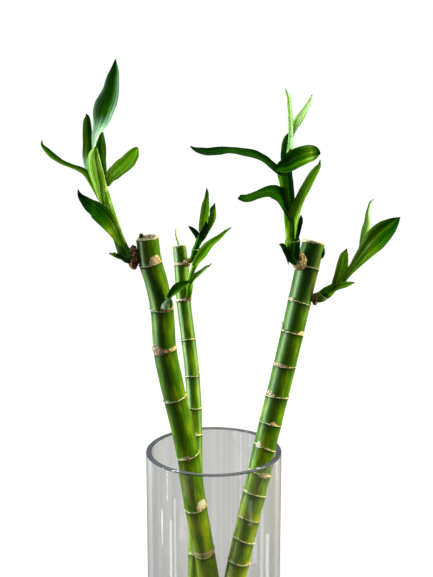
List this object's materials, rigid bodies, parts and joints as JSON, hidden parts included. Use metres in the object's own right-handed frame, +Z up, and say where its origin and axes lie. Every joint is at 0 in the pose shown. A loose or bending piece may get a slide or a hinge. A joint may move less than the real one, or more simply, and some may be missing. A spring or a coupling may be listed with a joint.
{
  "type": "lucky bamboo in a glass cylinder vase",
  "caption": "Lucky bamboo: cut green canes with ringed joints and short leafy shoots, leaning in a clear glass cylinder vase with shallow water.",
  "frame": {"origin": "centre of the vase's flat underside, on the surface it stands on", "axes": "+Z up along the vase's axis; the plant's front, as pictured, looks along -Y, with its left at -X"},
  "size_m": [0.2364, 0.1388, 0.4761],
  "materials": {
    "glass": "gloss",
    "water": "gloss",
    "cane": "satin",
    "cork": "matte",
    "leaf": "satin"
  },
  "bodies": {
    "root": {"vase": "glass", "water": "water", "cane_left": "cane", "cane_back": "cane", "cane_right": "cane", "collar_left_top": "cork", "collar_left_bud": "cork", "collar_back_top": "cork", "collar_back_low": "cork", "collar_right_top": "cork", "collar_right_side": "cork", "shoot_left_top": "leaf", "shoot_left_bud": "leaf", "shoot_back_top": "leaf", "shoot_back_low": "leaf", "shoot_right_top": "leaf", "shoot_right_side": "leaf"}
  },
  "joints": []
}
